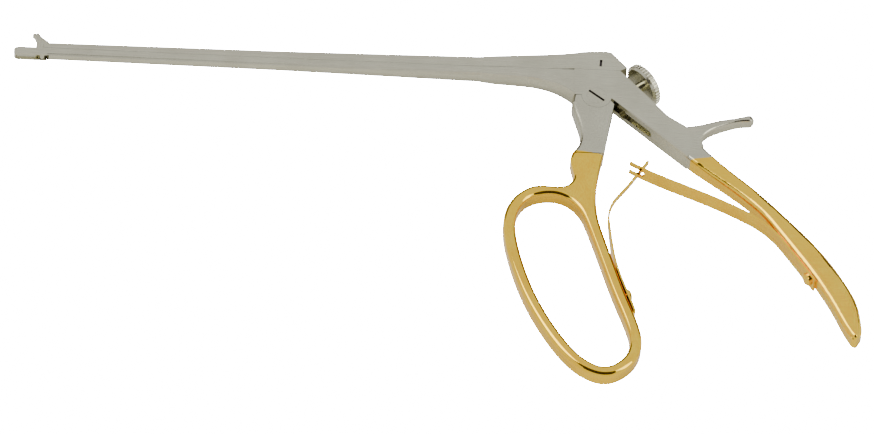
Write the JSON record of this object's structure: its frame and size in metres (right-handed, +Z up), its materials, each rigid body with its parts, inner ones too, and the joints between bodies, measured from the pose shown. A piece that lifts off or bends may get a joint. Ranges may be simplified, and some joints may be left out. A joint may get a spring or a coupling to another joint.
{
  "type": "biopsy punch forceps",
  "caption": "Long slim steel biopsy punch forceps with a sliding upper bar, small biting jaw, finger ring, rest spur, leaf springs and gold plated handles",
  "frame": {"origin": "on the lower flat side face, under the axis of the handle pivot", "axes": "+X from the jaw to the handles, +Y towards the sliding bar, +Z up through the flat sides"},
  "size_m": [0.3043, 0.1482, 0.0164],
  "materials": {
    "satin_steel": "fine satin polish",
    "gold_plate": "bright gold plating on steel"
  },
  "bodies": {
    "frame_body": {"fixed_frame": "satin_steel", "pivot_screw": "satin_steel", "jaw_pivot_pin": "satin_steel", "rear_leaf_spring": "gold_plate", "rear_spring_screw": "gold_plate"},
    "handle_body": {"front_handle": "gold_plate", "front_leaf_spring": "gold_plate", "front_spring_screw": "gold_plate"},
    "slide_body": {"slide_bar": "satin_steel", "drive_screw": "satin_steel", "jaw_drive_pin": "satin_steel"},
    "jaw_body": {"upper_jaw": "satin_steel"},
    "thumb_body": {"thumb_screw": "satin_steel"}
  },
  "joints": [
    {"name": "handle_squeeze", "type": "hinge", "parent": "frame_body", "child": "handle_body", "pos_m": [0, 0, 0.0038], "axis": [0, 0, 1], "range_deg": [0, 10.3], "stiffness_Nm_per_rad": 2, "deforming": ["rear_leaf_spring", "front_leaf_spring"]},
    {"name": "slide_travel", "type": "slide", "parent": "frame_body", "child": "slide_body", "axis": [-1, 0, 0], "range_m": [0, 0.00269]},
    {"name": "jaw_close", "type": "hinge", "parent": "frame_body", "child": "jaw_body", "pos_m": [-0.1988, 0.0101, 0.0038], "axis": [0, 0, 1], "range_deg": [0, 60]},
    {"name": "thumb_screw_turn", "type": "hinge", "parent": "frame_body", "child": "thumb_body", "pos_m": [0.01604, 0.00764, 0.0038], "axis": [0.766, 0.6428, 0], "continuous": true}
  ],
  "couplings": [
    {"joint": "slide_travel", "follows": "handle_squeeze", "m_per_rad": 0.01495},
    {"joint": "jaw_close", "follows": "handle_squeeze", "ratio": 5.82}
  ]
}
